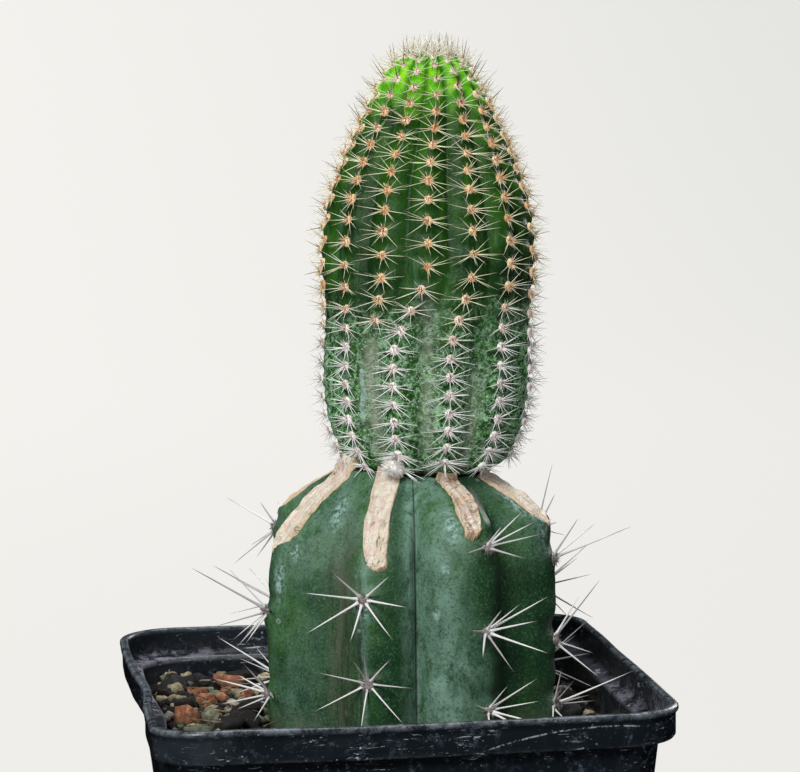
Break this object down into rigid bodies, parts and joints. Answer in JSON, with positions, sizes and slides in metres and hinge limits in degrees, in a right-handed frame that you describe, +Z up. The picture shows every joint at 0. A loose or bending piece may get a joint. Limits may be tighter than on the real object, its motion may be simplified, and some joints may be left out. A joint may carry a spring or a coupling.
{
  "type": "potted grafted cactus",
  "caption": "Grafted cactus: a ribbed, spiny column on a stout ribbed rootstock, in gravelly soil in a square black nursery pot.",
  "frame": {"origin": "centre of the underside of the pot", "axes": "+Z up along the pot and the plant, -Y towards the front of the pot, +X to the right of the front"},
  "size_m": [0.09, 0.09, 0.2035],
  "materials": {
    "pot_plastic": "black polypropylene, dusty and scuffed",
    "gravel_soil": "dry mixed gravel and humus",
    "rootstock_skin": "waxy blue-green skin with grey spines",
    "scion_skin": "green skin with cream spines",
    "cork": "rough corky scar"
  },
  "bodies": {
    "root": {"pot": "pot_plastic", "soil": "gravel_soil", "rootstock": "rootstock_skin", "scion": "scion_skin", "scar_a": "cork", "scar_b": "cork", "scar_c": "cork", "scar_d": "cork", "scar_e": "cork", "scar_f": "cork", "scar_g": "cork", "scar_h": "cork"}
  },
  "joints": []
}
